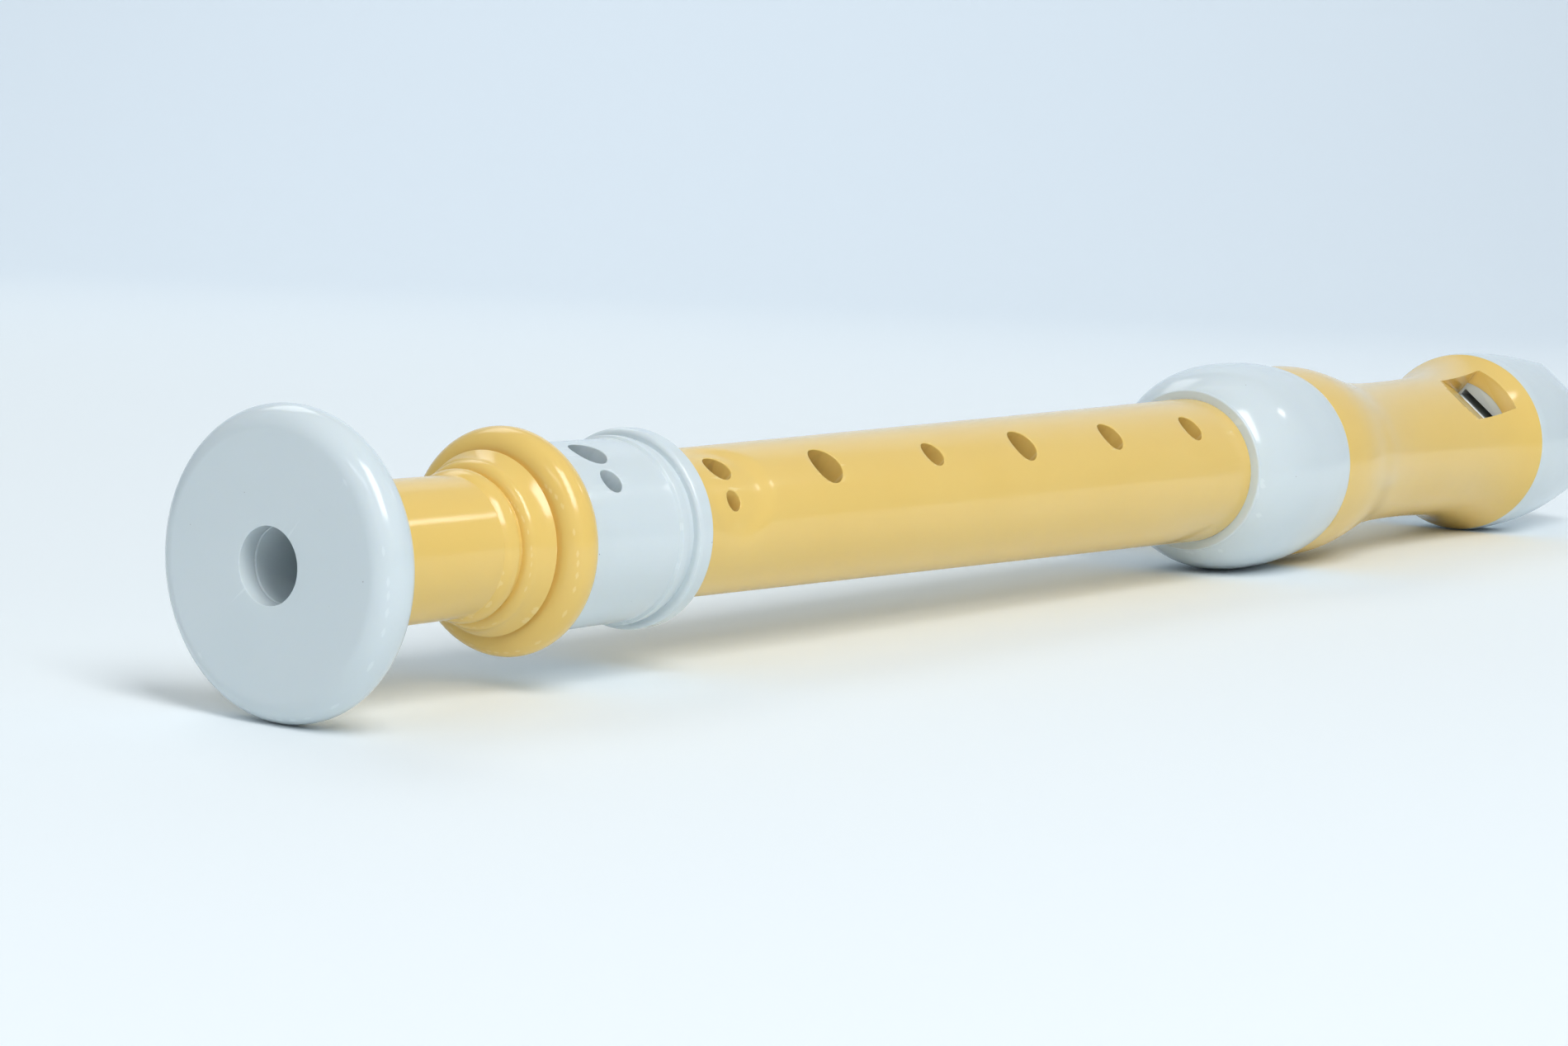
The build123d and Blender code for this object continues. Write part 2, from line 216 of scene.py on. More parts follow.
def hangLights(values):
    world = bpy.data.worlds.new("soft room")
    scene.world = world
    world.use_nodes = True
    tree = world.node_tree
    background = tree.nodes["Background"]
    place = addNode(tree, "ShaderNodeTexCoord")
    split = addNode(tree, "ShaderNodeSeparateXYZ")
    ramp = addNode(tree, "ShaderNodeValToRGB")
    plug(tree, split.inputs[0], place.outputs["Generated"])
    plug(tree, ramp.inputs["Fac"], split.outputs["Z"])
    stops = ramp.color_ramp.elements
    stops[0].color = values["skyLow"]
    stops[1].color = values["skyHigh"]
    stops[1].position = values["skyHighAt"]
    stops.new(values["skyMiddleAt"]).color = values["skyMiddle"]
    plug(tree, background.inputs["Color"], ramp.outputs["Color"])
    background.inputs["Strength"].default_value = values["skyStrength"]
    for name, (spot, size, watts, colour) in values["lamps"].items():
        addLamp(name, spot, size, watts, colour, values["lampsAim"])
    spot, size, watts, colour = values["wallWash"]
    addLamp("wall wash", spot, size, watts, colour, values["wallWashAim"])
    scene.view_settings.view_transform = "Standard"
    print("lights hung")


layFloor(studio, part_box("bell_disc")[0].z - studio["gap"])
hangLights(lights)


# moulded plastics
moulding = {                   # a noise is its scale, detail and, where given, roughness
    "driftNoise": (70, 3),     # slow drift of colour in the melt
    "drift": (0.35, 0.65),
    "wornHighlightBend": (0.53, 0.60),  # where a paler edge begins and is full, partly handling wear and partly painted highlight
    "wornHighlightShare": 0.6,          # how far it goes to the paler edge colour, in part a painted highlight
    "speckScale": 380,
    "speckRadius": (0.02, 0.032),
    "speckColour": (0.25, 0.26, 0.25, 1),
    "filmNoise": (45, 2),      # finger film
    "filmRange": (0.3, 0.7),
    "film": (0.10, 0.17),      # roughness that it gives
    "scuffNoise": (1400, 4, 0.7),
    "scuffRange": (0.45, 0.8),
    "scuffs": 0.03,
    "edgeRoughness": 0.1,
    "peelNoise": (260, 2),     # faint orange peel of the mould
    "gritNoise": (3500, 2),
    "gritHeight": 0.08,
    "bump": 0.12,
    "bumpDepth": 0.06 * mm,
    "refraction": 1.5,
    "glow": 0.12,              # light carried under the skin
    "glowColour": (1.0, 0.7, 0.4),
    "glowDepth": 1.2 * mm,
}
# each plastic's edge colour is a paler copy laid on convex edges: partly handling wear, partly painted
# highlight
whitePlastic = {
    "colour": (0.66, 0.73, 0.755, 1),
    "shade": (0.645, 0.72, 0.747, 1),
    "edge": (0.74, 0.81, 0.83, 1),
    "specks": 1.0,
}
yellowPlastic = {
    "colour": (0.82, 0.57, 0.165, 1),
    "shade": (0.81, 0.558, 0.155, 1),
    "edge": (0.90, 0.69, 0.30, 1),
    "specks": 0.0,
}
blockPlastic = {
    "colour": (0.60, 0.66, 0.68, 1),
    "shade": (0.56, 0.62, 0.64, 1),
    "edge": (0.66, 0.72, 0.74, 1),
    "specks": 0.0,
}


def mouldedPlastic(name, values):
    material = bpy.data.materials.new(name)
    material.use_nodes = True
    tree = material.node_tree
    shader = tree.nodes["Principled BSDF"]
    place = addNode(tree, "ShaderNodeTexCoord").outputs["Object"]

    def noise(scale, detail, roughness=0.5):
        node = addNode(tree, "ShaderNodeTexNoise")
        plug(tree, node.inputs["Vector"], place)
        node.inputs["Scale"].default_value = scale
        node.inputs["Detail"].default_value = detail
        node.inputs["Roughness"].default_value = roughness
        return node.outputs["Fac"]

    def spread(value, before, after):
        node = addNode(tree, "ShaderNodeMapRange")
        plug(tree, node.inputs["Value"], value)
        node.inputs["From Min"].default_value = before[0]
        node.inputs["From Max"].default_value = before[1]
        node.inputs["To Min"].default_value = after[0]
        node.inputs["To Max"].default_value = after[1]
        return node.outputs["Result"]

    cloud = spread(noise(*moulding["driftNoise"]), moulding["drift"], (0, 1))
    colour = blendColours(tree, cloud, values["colour"], values["shade"])
    # convex edges, found by pointiness, are blended towards a paler edge colour: partly wear, partly a
    # painted highlight
    bend = addNode(tree, "ShaderNodeNewGeometry").outputs["Pointiness"]
    rim = spread(bend, moulding["wornHighlightBend"], (0, moulding["wornHighlightShare"]))
    colour = blendColours(tree, rim, colour, values["edge"])
    if values["specks"]:
        cells = addNode(tree, "ShaderNodeTexVoronoi")
        plug(tree, cells.inputs["Vector"], place)
        cells.inputs["Scale"].default_value = moulding["speckScale"]
        dots = spread(cells.outputs["Distance"], moulding["speckRadius"], (values["specks"], 0))
        colour = blendColours(tree, dots, colour, moulding["speckColour"])
    plug(tree, shader.inputs["Base Color"], colour)
    handled = spread(noise(*moulding["filmNoise"]), moulding["filmRange"], moulding["film"])
    scuffs = spread(noise(*moulding["scuffNoise"]), moulding["scuffRange"], (0, moulding["scuffs"]))
    rough = sums(tree, "ADD", handled, scuffs)
    rough = sums(tree, "ADD", rough, sums(tree, "MULTIPLY", rim, moulding["edgeRoughness"]))
    plug(tree, shader.inputs["Roughness"], rough)
    skin = noise(*moulding["peelNoise"])
    grit = sums(tree, "MULTIPLY", noise(*moulding["gritNoise"]), moulding["gritHeight"])
    bump = addNode(tree, "ShaderNodeBump")
    bump.inputs["Strength"].default_value = moulding["bump"]
    bump.inputs["Distance"].default_value = moulding["bumpDepth"]
    plug(tree, bump.inputs["Height"], sums(tree, "ADD", skin, grit))
    plug(tree, shader.inputs["Normal"], bump.outputs["Normal"])
    shader.inputs["IOR"].default_value = moulding["refraction"]
    shader.inputs["Subsurface Weight"].default_value = moulding["glow"]
    shader.inputs["Subsurface Radius"].default_value = moulding["glowColour"]
    shader.inputs["Subsurface Scale"].default_value = moulding["glowDepth"]
    return material


white = mouldedPlastic("cool white moulded plastic", whitePlastic)
yellow = mouldedPlastic("straw yellow moulded plastic", yellowPlastic)
pale = mouldedPlastic("pale block plastic", blockPlastic)
print("plastics mixed")


# reading a turned outline off the part
turning = {
    "segments": 288,
    "core": 1.0 * mm,          # radius of the circle that the outline is swept along
    "soften": 0.06 * mm,       # length taken off on each side of a sharp edge
    "trimShare": 0.4,          # and never more than this share of the run
    "sharpTurn": 33,           # degrees, past which a corner counts as an edge
    "straightTurn": 0.15,      # degrees, below which a run counts as straight
    "longestRun": 1.6 * mm,
    "flatRun": 2.5,            # times longer than its neighbour, past which a run is flat
    "finestTurn": 4.0,         # degrees between two rings on a curve
    "cornerSteps": 5,
    "closest": 0.004 * mm,     # two points nearer than this become one
    "trueEdge": 38,            # degrees, past which shading breaks
}
reading = {
    "weld": 1e-6,
    "onPlane": 1e-7,
    "clearOfHoles": 0.8,       # share of a radius that faces the chosen side
    "nearWall": 0.045 * mm,    # a ring this near the cut outline lies on it
    "sameSpot": 0.02 * mm,
}


def sectionLoop(body, sideDegrees):          # the wall's outline, cut on one side of the axis
    angle = math.radians(sideDegrees)
    side = Vector((0, -math.sin(angle), math.cos(angle)))
    across = Vector((1, 0, 0)).cross(side)
    geometry = body.verts[:] + body.edges[:] + body.faces[:]
    near = reading["onPlane"]
    cut = bmesh.ops.bisect_plane(body, geom=geometry, dist=near, plane_co=(0, 0, 0), plane_no=across)
    neighbours = {}
    for edge in cut["geom_cut"]:
        if isinstance(edge, bmesh.types.BMEdge):
            a, b = edge.verts
            if (a.co + b.co).dot(side) > 0:
                neighbours.setdefault(a, []).append(b)
                neighbours.setdefault(b, []).append(a)
    start = max(neighbours, key=lambda v: v.co.dot(side))
    loop = [start]
    before = None
    current = start
    while True:
        onward = [v for v in neighbours[current] if v is not before]
        before, current = current, onward[0]
        if current is start:
            break
        loop.append(current)
    return [Vector((v.co.x, v.co.dot(side))) for v in loop]


def outlineOf(nodeName, sideDegrees):        # a turned part's ring points, in order round its wall
    body = bmesh.new()
    body.from_mesh(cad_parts[nodeName].data)
    bmesh.ops.remove_doubles(body, verts=body.verts, dist=reading["weld"])
    angle = math.radians(sideDegrees)
    rings = set()
    for v in body.verts:
        radius = math.hypot(v.co.y, v.co.z)
        facing = -v.co.y * math.sin(angle) + v.co.z * math.cos(angle)
        if facing > reading["clearOfHoles"] * radius:
            rings.add((round(v.co.x, 6), round(radius, 6)))
    loop = sectionLoop(body, sideDegrees)
    body.free()
    placed = []
    walked = 0
    for i, a in enumerate(loop):
        b = loop[(i + 1) % len(loop)]
        run = b - a
        for ring in rings:
            point = Vector(ring)
            share = max(0, min(1, (point - a).dot(run) / max(run.length_squared, 1e-16)))
            gap = (point - a - run * share).length
            if gap < reading["nearWall"]:
                placed.append((walked + share * run.length, gap, ring))
        walked += run.length
    best = {}
    for where, gap, ring in placed:
        if ring not in best or gap < best[ring][1]:
            best[ring] = (where, gap)
    ordered = sorted((where, ring) for ring, (where, gap) in best.items())
    points = []
    for where, ring in ordered:
        point = Vector(ring)
        if not points or (point - points[-1]).length > reading["sameSpot"]:
            points.append(point)
    if (points[0] - points[-1]).length < reading["sameSpot"]:
        points.pop()
    return points


def turnAt(points, i):                       # signed turn at a point, in degrees
    a = points[i] - points[i - 1]
    b = points[(i + 1) % len(points)] - points[i]
    return math.degrees(math.atan2(a.x * b.y - a.y * b.x, a.dot(b)))


def straightened(points, values):            # drops points that lie on a straight run
    kept = points[:]
    again = True
    while again:
        again = False
        for i in range(len(kept)):
            if abs(turnAt(kept, i)) < values["straightTurn"]:
                del kept[i]
                again = True
                break
    return kept


def mirrored(heading, chord):                # the heading a run has at its other end
    return (2 * heading.dot(chord) * chord - heading).normalized()


def softened(points, values):                # eased edges, smooth curves and even runs
    points = straightened(points, values)
    count = len(points)
    turns = [turnAt(points, i) for i in range(count)]
    sharp = [abs(t) > values["sharpTurn"] for t in turns]
    headings = []
    for i in range(count):
        a = points[i] - points[i - 1]
        b = points[(i + 1) % count] - points[i]
        if a.length > values["flatRun"] * b.length:           # a flat run stays flat to its end
            headings.append(a.normalized())
        elif b.length > values["flatRun"] * a.length:
            headings.append(b.normalized())
        else:
            headings.append((a / a.length * b.length + b / b.length * a.length).normalized())
    made = []
    for i in range(count):
        j = (i + 1) % count
        start, end = points[i], points[j]
        chord = end - start
        length = chord.length
        straight = chord.normalized()
        curveStart = not sharp[i] and abs(turns[i]) > values["straightTurn"]
        curveEnd = not sharp[j] and abs(turns[j]) > values["straightTurn"]
        first = straight
        last = straight
        if curveStart:
            first = headings[i]
            last = mirrored(headings[i], straight)
        if curveEnd:
            last = headings[j]
            first = first if curveStart else mirrored(headings[j], straight)
        bend = math.degrees(first.angle(last)) + math.degrees(first.angle(straight))
        steps = max(1, math.ceil(bend / values["finestTurn"]), math.ceil(length / values["longestRun"]))
        trim = min(values["soften"], values["trimShare"] * length)
        trimStart = trim if sharp[i] else 0
        trimEnd = trim if sharp[j] else 0
        for step in range(steps + 1):
            t = (trimStart + (length - trimStart - trimEnd) * step / steps) / length
            h1 = (2 * t ** 3 - 3 * t ** 2 + 1) * start + (t ** 3 - 2 * t ** 2 + t) * length * first
            h2 = (3 * t ** 2 - 2 * t ** 3) * end + (t ** 3 - t ** 2) * length * last
            made.append((h1 + h2, j if step == steps and sharp[j] else None))
    rounded = []
    for k, (point, corner) in enumerate(made):
        rounded.append(point)
        if corner is not None:
            after = made[(k + 1) % len(made)][0]
            tip = points[corner]
            for step in range(1, values["cornerSteps"]):
                t = step / values["cornerSteps"]
                rounded.append((1 - t) ** 2 * point + 2 * t * (1 - t) * tip + t ** 2 * after)
    return [p for k, p in enumerate(rounded) if (p - rounded[k - 1]).length > values["closest"]]


# the lathe, as Geometry Nodes
def finishTree(tree, geometry, material):
    realize = addNode(tree, "GeometryNodeRealizeInstances")
    paint = addNode(tree, "GeometryNodeSetMaterial")
    plug(tree, realize.inputs["Geometry"], geometry)
    plug(tree, paint.inputs["Geometry"], realize.outputs["Geometry"])
    plug(tree, paint.inputs["Material"], material)
    out = addNode(tree, "NodeGroupOutput")
    plug(tree, out.inputs[0], paint.outputs["Geometry"])


def newTree(name, sockets):                  # tree with a geometry in and out, and named inputs
    tree = bpy.data.node_groups.new(name, "GeometryNodeTree")
    tree.interface.new_socket("Geometry", in_out="OUTPUT", socket_type="NodeSocketGeometry")
    tree.interface.new_socket("Geometry", in_out="INPUT", socket_type="NodeSocketGeometry")
    for label, kind, value in sockets:
        socket = tree.interface.new_socket(label, in_out="INPUT", socket_type=kind)
        if value is not None:
            socket.default_value = value
    return tree, addNode(tree, "NodeGroupInput")


def latheTree():
    tree, given = newTree("turned on the lathe", [
        ("Segments", "NodeSocketInt", turning["segments"]),
        ("Core radius", "NodeSocketFloat", turning["core"]),
        ("Plastic", "NodeSocketMaterial", None),
    ])
    profile = addNode(tree, "GeometryNodeMeshToCurve")
    plug(tree, profile.inputs["Mesh"], given.outputs["Geometry"])
    path = addNode(tree, "GeometryNodeCurvePrimitiveCircle")
    plug(tree, path.inputs["Resolution"], given.outputs["Segments"])
    plug(tree, path.inputs["Radius"], given.outputs["Core radius"])
    upright = addNode(tree, "GeometryNodeSetCurveNormal", mode="Z_UP")
    plug(tree, upright.inputs["Curve"], path.outputs["Curve"])
    spin = addNode(tree, "GeometryNodeCurveToMesh")
    plug(tree, spin.inputs["Curve"], upright.outputs["Curve"])
    plug(tree, spin.inputs["Profile Curve"], profile.outputs["Curve"])
    lay = addNode(tree, "GeometryNodeTransform")
    plug(tree, lay.inputs["Geometry"], spin.outputs["Mesh"])
    lay.inputs["Rotation"].default_value = (0, math.pi / 2, 0)
    smooth = addNode(tree, "GeometryNodeSetShadeSmooth")
    plug(tree, smooth.inputs["Geometry"], lay.outputs["Geometry"])
    finishTree(tree, smooth.outputs["Geometry"], given.outputs["Plastic"])
    return tree


def makePlain(piece):                        # bakes the modifiers into a plain mesh
    bpy.context.view_layer.update()
    graph = bpy.context.evaluated_depsgraph_get()
    plain = bpy.data.meshes.new_from_object(piece.evaluated_get(graph))
    piece.modifiers.clear()
    piece.data = plain


def runTree(thing, tree, values):            # runs a node tree with these inputs, for good
    modifier = thing.modifiers.new(tree.name, "NODES")
    modifier.node_group = tree
    for item in tree.interface.items_tree:
        if item.in_out == "INPUT" and item.name in values:
            modifier[item.identifier] = values[item.name]
    makePlain(thing)


def turnedPiece(name, nodeName, sideDegrees, plastic, values=turning):
    outline = softened(outlineOf(nodeName, sideDegrees), values)
    core = values["core"]
    mesh = bpy.data.meshes.new(name)
    count = len(outline)
    edges = [(i, (i + 1) % count) for i in range(count)]
    mesh.from_pydata([(r - core, -x, 0) for x, r in outline], edges, [])
    piece = bpy.data.objects.new(name, mesh)
    scene.collection.objects.link(piece)
    runTree(piece, lathe, {"Segments": values["segments"], "Core radius": core, "Plastic": plastic})
    print(name, "turned,", count, "rings")
    return piece


lathe = latheTree()


def crisp(piece):                            # smooth faces, true edges, clean highlights
    piece.data.shade_smooth()
    piece.data.set_sharp_from_angle(angle=math.radians(turning["trueEdge"]))
    even = piece.modifiers.new("even normals", "WEIGHTED_NORMAL")
    even.keep_sharp = True
    makePlain(piece)


def subtract(piece, cutter):
    cut = piece.modifiers.new("cut", "BOOLEAN")
    cut.operation = "DIFFERENCE"
    cut.solver = "MANIFOLD"
    cut.object = cutter
    makePlain(piece)
    bpy.data.objects.remove(cutter)


def settle(piece, nodeName, body):
    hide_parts(nodeName)
    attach(piece, body)


# finger holes, as Geometry Nodes: one drill on each hole point, flared to a soft rim
drilling = {
    "around": 96,
    "rim": 0.12 * mm,          # radius worn round each hole's edge
    "rimSteps": 5,
    "stepDegrees": 15,         # turn of the rim at each step
    "pastSkin": 0.5 * mm,      # run on from the rim, clear of the skin
    "top": 1.5 * mm,           # above the tube's crown
    "floor": 2 * mm,           # from the axis
}


def drillTree():
    tree, given = newTree("finger hole drills", [
        ("Around", "NodeSocketInt", drilling["around"]),
        ("Rim", "NodeSocketFloat", drilling["rim"]),
        ("Plastic", "NodeSocketMaterial", None),
    ])
    rimStarts = 1                            # the floor is level 0
    rimEnds = rimStarts + drilling["rimSteps"]
    stages = rimEnds + 2                     # past the skin, then the top
    cylinder = addNode(tree, "GeometryNodeMeshCylinder")
    plug(tree, cylinder.inputs["Vertices"], given.outputs["Around"])
    cylinder.inputs["Side Segments"].default_value = stages
    cylinder.inputs["Radius"].default_value = 1
    cylinder.inputs["Depth"].default_value = stages
    here = addNode(tree, "GeometryNodeInputPosition").outputs["Position"]
    keep = addNode(tree, "GeometryNodeStoreNamedAttribute", data_type="FLOAT_VECTOR", domain="POINT")
    plug(tree, keep.inputs["Geometry"], cylinder.outputs["Mesh"])
    keep.inputs["Name"].default_value = "drill place"
    plug(tree, keep.inputs["Value"], here)
    middle = addNode(tree, "GeometryNodeStoreNamedAttribute", data_type="FLOAT_VECTOR", domain="POINT")
    plug(tree, middle.inputs["Geometry"], given.outputs["Geometry"])
    middle.inputs["Name"].default_value = "hole middle"
    plug(tree, middle.inputs["Value"], here)
    copies = addNode(tree, "GeometryNodeInstanceOnPoints")
    points = addNode(tree, "GeometryNodeMeshToPoints")
    plug(tree, points.inputs["Mesh"], middle.outputs["Geometry"])
    plug(tree, copies.inputs["Points"], points.outputs["Points"])
    plug(tree, copies.inputs["Instance"], keep.outputs["Geometry"])
    real = addNode(tree, "GeometryNodeRealizeInstances")
    plug(tree, real.inputs["Geometry"], copies.outputs["Instances"])

    def named(label, kind="FLOAT"):
        node = addNode(tree, "GeometryNodeInputNamedAttribute", data_type=kind)
        node.inputs["Name"].default_value = label
        if kind == "FLOAT":
            return node.outputs["Attribute"]
        parts = addNode(tree, "ShaderNodeSeparateXYZ")
        plug(tree, parts.inputs[0], node.outputs["Attribute"])
        return parts.outputs

    def between(value, low, high):
        return sums(tree, "MINIMUM", sums(tree, "MAXIMUM", value, low), high)

    def pick(share, low, high):              # low where share is 0, high where it is 1
        change = sums(tree, "SUBTRACT", high, low)
        return sums(tree, "ADD", low, sums(tree, "MULTIPLY", change, share))

    drill = named("drill place", "FLOAT_VECTOR")
    hole = named("hole middle", "FLOAT_VECTOR")
    rim = given.outputs["Rim"]
    level = sums(tree, "ADD", drill["Z"], stages / 2)

    def levelsPast(start, most):             # levels above this one, no more than most
        return between(sums(tree, "SUBTRACT", level, start), 0.0, most)

    lastTurn = math.radians(drilling["stepDegrees"] * drilling["rimSteps"])
    stepTurn = math.radians(drilling["stepDegrees"])
    angle = sums(tree, "MULTIPLY", levelsPast(rimStarts, drilling["rimSteps"]), stepTurn)
    past = sums(tree, "MULTIPLY", levelsPast(rimEnds, 1.0), drilling["pastSkin"])
    out = sums(tree, "MULTIPLY", rim, sums(tree, "SUBTRACT", 1.0, sums(tree, "COSINE", angle)))
    out = sums(tree, "ADD", out, sums(tree, "MULTIPLY", past, math.sin(lastTurn)))
    rise = sums(tree, "MULTIPLY", rim, sums(tree, "SUBTRACT", sums(tree, "SINE", angle), 1.0))
    rise = sums(tree, "ADD", rise, sums(tree, "MULTIPLY", past, math.cos(lastTurn)))
    reach = sums(tree, "ADD", named("bore radius"), out)
    bearing = sums(tree, "ARCTAN2", drill["Y"], drill["X"])
    along = sums(tree, "MULTIPLY", reach, sums(tree, "COSINE", bearing))
    across = sums(tree, "ADD", hole["Y"], sums(tree, "MULTIPLY", reach, sums(tree, "SINE", bearing)))
    tube = sums(tree, "ADD", named("tube"), sums(tree, "MULTIPLY", named("slope"), along))
    acrossSquared = sums(tree, "MULTIPLY", across, across)
    inside = sums(tree, "SUBTRACT", sums(tree, "MULTIPLY", tube, tube), acrossSquared)
    skin = sums(tree, "SQRT", sums(tree, "MAXIMUM", inside, 0.0))
    height = sums(tree, "ADD", skin, rise)
    top = sums(tree, "ADD", tube, drilling["top"])
    height = pick(levelsPast(rimEnds + 1, 1.0), height, top)
    height = pick(between(level, 0.0, 1.0), hole["Z"], height)
    place = addNode(tree, "ShaderNodeCombineXYZ")
    plug(tree, place.inputs[0], sums(tree, "ADD", hole["X"], along))
    plug(tree, place.inputs[1], across)
    plug(tree, place.inputs[2], height)
    move = addNode(tree, "GeometryNodeSetPosition")
    plug(tree, move.inputs["Geometry"], real.outputs["Geometry"])
    plug(tree, move.inputs["Position"], place.outputs[0])
    finishTree(tree, move.outputs["Geometry"], given.outputs["Plastic"])
    return tree


drills = drillTree()


def drillHoles(piece, holes, rollDegrees, plastic):
    # each hole: place, across, radius, then the tube's radius and slope there
    mesh = bpy.data.meshes.new("hole points")
    mesh.from_pydata([(hole[0], hole[1], drilling["floor"]) for hole in holes], [], [])
    for label, index in (("bore radius", 2), ("tube", 3), ("slope", 4)):
        values = mesh.attributes.new(label, "FLOAT", "POINT")
        values.data.foreach_set("value", [hole[index] for hole in holes])
    cutter = bpy.data.objects.new("hole drills", mesh)
    scene.collection.objects.link(cutter)
    runTree(cutter, drills, {"Around": drilling["around"], "Rim": drilling["rim"], "Plastic": plastic})
    cutter.data.transform(Matrix.Rotation(math.radians(rollDegrees), 4, "X"))
    subtract(piece, cutter)
    print(piece.name, "drilled,", len(holes), "holes")


# foot: disc, yellow shell and white sleeve
foot = {
    "roll": 35.4,              # holes towards the camera, degrees from straight up
    "outlineAt": 180,          # degrees, a side clear of holes
    "sleeve": 10.25 * mm,      # its outside radius
    "large": (43.9 * mm, 2.3 * mm, 2.2 * mm),       # place, across, radius
    "small": (43.3 * mm, -2.3 * mm, 1.45 * mm),
}

bellDisc = turnedPiece("bellDisc", "bell_disc", foot["outlineAt"], white)
crisp(bellDisc)
settle(bellDisc, "bell_disc", "foot_ring")
footShell = turnedPiece("footShell", "foot_shell", foot["outlineAt"], yellow)
crisp(footShell)
settle(footShell, "foot_shell", "foot_ring")
footSleeve = turnedPiece("footSleeve", "foot_body", foot["outlineAt"], white)
footHoles = [(*hole, foot["sleeve"], 0) for hole in (foot["large"], foot["small"])]
drillHoles(footSleeve, footHoles, foot["roll"], white)
crisp(footSleeve)
settle(footSleeve, "foot_body", "foot")
print("foot made")


# middle: tapered tube with its finger holes, thumb hole and dish
middle = {
    "roll": 44.2,
    "outlineAt": 134,          # between the finger holes and the thumb hole
    "ends": (57.55 * mm, 191.15 * mm),
    "radii": (8.45 * mm, 10.65 * mm),
    "holes": [                 # place, across, radius
        (66.45 * mm, 1.35 * mm, 1.85 * mm),
        (65.95 * mm, -3.05 * mm, 1.15 * mm),
        (86.25 * mm, 0, 2.6 * mm),
        (109.55 * mm, 0, 1.85 * mm),
        (131.25 * mm, 0, 2.5 * mm),
        (154.55 * mm, 0, 2.3 * mm),
        (177.75 * mm, 0, 2.2 * mm),
    ],
    "thumb": (186.55 * mm, 0, 2.5 * mm),
    "dish": {
        "place": 66.45 * mm,
        "across": -0.85 * mm,
        "radius": 7.0 * mm,
        "depth": 0.35 * mm,
        "edge": 0.28,          # share of the radius over which it falls
        "skin": 0.1 * mm,      # only points this near the outside sink
        "reachesTo": 80 * mm,  # and only up to this place
    },
}
middleTurning = {**turning, "segments": 240, "longestRun": 1.1 * mm}


def tubeRadius(x):
    (start, end), (small, large) = middle["ends"], middle["radii"]
    return small + (large - small) * (x - start) / (end - start)


def dishDepth(x, across):
    dish = middle["dish"]
    far = math.hypot(x - dish["place"], across - dish["across"]) / dish["radius"]
    fall = max(0, min(1, (1 - far) / dish["edge"]))
    return dish["depth"] * fall ** 2 * (3 - 2 * fall)


def pressDish(piece):                        # shallow smooth hollow round the lower pair of holes
    dish = middle["dish"]
    unroll = Matrix.Rotation(-math.radians(middle["roll"]), 3, "X")
    for v in piece.data.vertices:
        here = unroll @ v.co
        radius = math.hypot(here.y, here.z)
        outside = radius > tubeRadius(here.x) - dish["skin"]
        if here.z > 0 and outside and here.x < dish["reachesTo"]:
            sink = dishDepth(here.x, here.y)
            if sink:
                v.co.yz = v.co.yz * (1 - sink / radius)


def middleHole(x, across, radius):
    slope = (middle["radii"][1] - middle["radii"][0]) / (middle["ends"][1] - middle["ends"][0])
    return (x, across, radius, tubeRadius(x) - dishDepth(x, across), slope)


tube = turnedPiece("middleTube", "middle_body", middle["outlineAt"], yellow, middleTurning)
pressDish(tube)
drillHoles(tube, [middleHole(*hole) for hole in middle["holes"]], middle["roll"], yellow)
drillHoles(tube, [middleHole(*middle["thumb"])], middle["roll"] + 180, yellow)
crisp(tube)
settle(tube, "middle_body", "middle")
print("middle made")


# head: barrel ring, yellow head with its window, block and beak
head = {
    "roll": 39.5,
    "barrelOutlineAt": 180,
    "outlineAt": 200,          # far side from the window
    "halfWidth": 4.75 * mm,
    "windowHead": 291.1 * mm,
    "labium": 287.1 * mm,
    "lipHeight": 8.8 * mm,
    "lipThickness": 0.5 * mm,
    "ramp": 0.238,             # rise of the ramp for each unit along it
    "underStarts": 281.1 * mm,
    "bore": 6.88 * mm,
    "reach": 17 * mm,          # height that the window's cutter goes to
    "pastLip": 1 * mm,         # how far the lower cutter runs into the window
}
easing = {
    "beak": 0.25 * mm,         # width of its eased edges
    "block": 0.15 * mm,
    "steps": 3,
    "weld": 2e-6,
    "flatWithin": 0.2,         # degrees, below which faces join into one
}


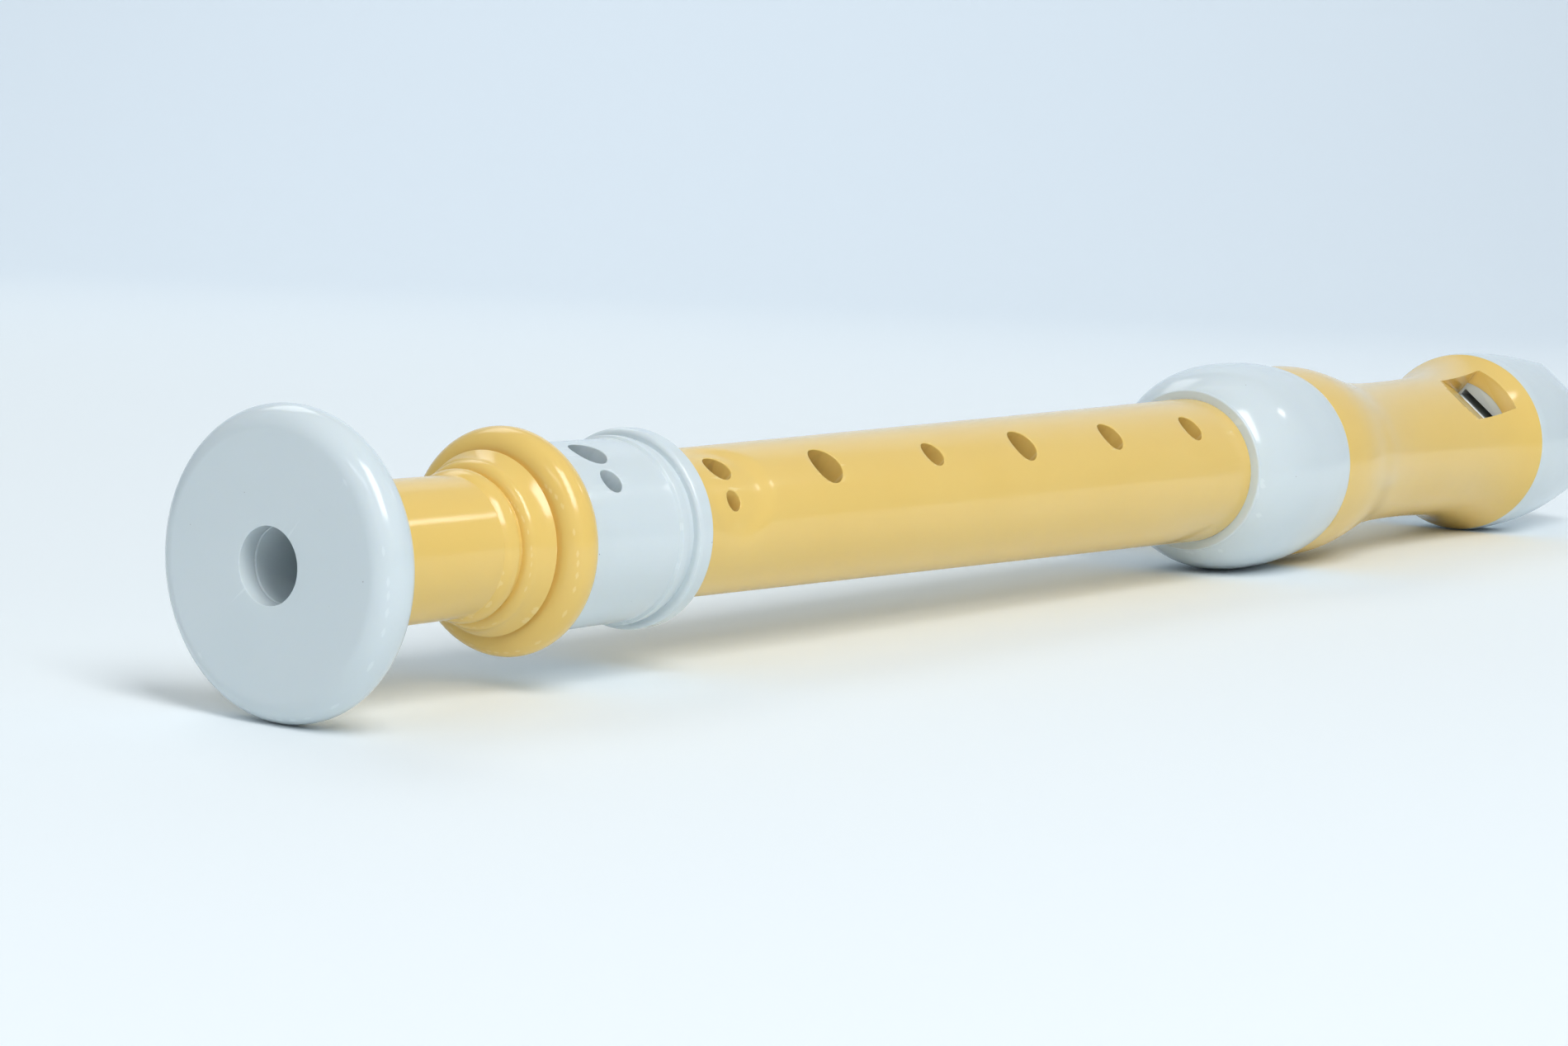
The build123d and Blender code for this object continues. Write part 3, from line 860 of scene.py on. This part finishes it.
def prism(name, outline, halfWidth, rollDegrees, plastic):
    # the outline is in x and z, and is pushed out both ways
    body = bmesh.new()
    near = [body.verts.new((x, -halfWidth, z)) for x, z in outline]
    far = [body.verts.new((x, halfWidth, z)) for x, z in outline]
    body.faces.new(near)
    body.faces.new(list(reversed(far)))
    for i in range(len(outline)):
        j = (i + 1) % len(outline)
        body.faces.new((near[j], near[i], far[i], far[j]))
    bmesh.ops.recalc_face_normals(body, faces=body.faces)
    roll = Matrix.Rotation(math.radians(rollDegrees), 3, "X")
    bmesh.ops.rotate(body, verts=body.verts, matrix=roll)
    mesh = bpy.data.meshes.new(name)
    body.to_mesh(mesh)
    body.free()
    mesh.materials.append(plastic)
    made = bpy.data.objects.new(name, mesh)
    scene.collection.objects.link(made)
    return made


def cutWindow(piece, values, plastic):
    lip = values["lipHeight"]
    top = values["reach"]
    runOut = (top - lip) / values["ramp"]
    well = [
        (values["labium"], 0),
        (values["windowHead"], 0),
        (values["windowHead"], top),
        (values["labium"] - runOut, top),
        (values["labium"], lip),
    ]
    under = lip - values["lipThickness"]
    slopeUnder = [
        (values["labium"] + values["pastLip"], 0),
        (values["labium"] + values["pastLip"], under),
        (values["labium"], under),
        (values["underStarts"], values["bore"]),
        (values["underStarts"], 0),
    ]
    subtract(piece, prism("window well", well, values["halfWidth"], values["roll"], plastic))
    subtract(piece, prism("under the lip", slopeUnder, values["halfWidth"], values["roll"], plastic))


def easedCopy(name, nodeName, plastic, width):     # the part's own shape, its edges rounded over
    body = bmesh.new()
    body.from_mesh(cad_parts[nodeName].data)
    bmesh.ops.remove_doubles(body, verts=body.verts, dist=easing["weld"])
    flatWithin = math.radians(easing["flatWithin"])
    bmesh.ops.dissolve_limit(body, angle_limit=flatWithin, verts=body.verts, edges=body.edges)
    mesh = bpy.data.meshes.new(name)
    body.to_mesh(mesh)
    body.free()
    mesh.materials.clear()
    mesh.materials.append(plastic)
    piece = bpy.data.objects.new(name, mesh)
    scene.collection.objects.link(piece)
    ease = piece.modifiers.new("ease", "BEVEL")
    ease.width = width
    ease.segments = easing["steps"]
    ease.limit_method = "ANGLE"
    ease.angle_limit = math.radians(turning["trueEdge"])
    makePlain(piece)
    return piece


barrel = turnedPiece("barrelRing", "barrel_ring", head["barrelOutlineAt"], white)
crisp(barrel)
settle(barrel, "barrel_ring", "barrel")
headTube = turnedPiece("headTube", "head_body", head["outlineAt"], yellow)
cutWindow(headTube, head, yellow)
crisp(headTube)
settle(headTube, "head_body", "head")
beak = easedCopy("beak", "beak_cap", white, easing["beak"])
crisp(beak)
settle(beak, "beak_cap", "head")
block = easedCopy("windwayBlock", "windway_block", pale, easing["block"])
crisp(block)
settle(block, "windway_block", "head")
print("head made")
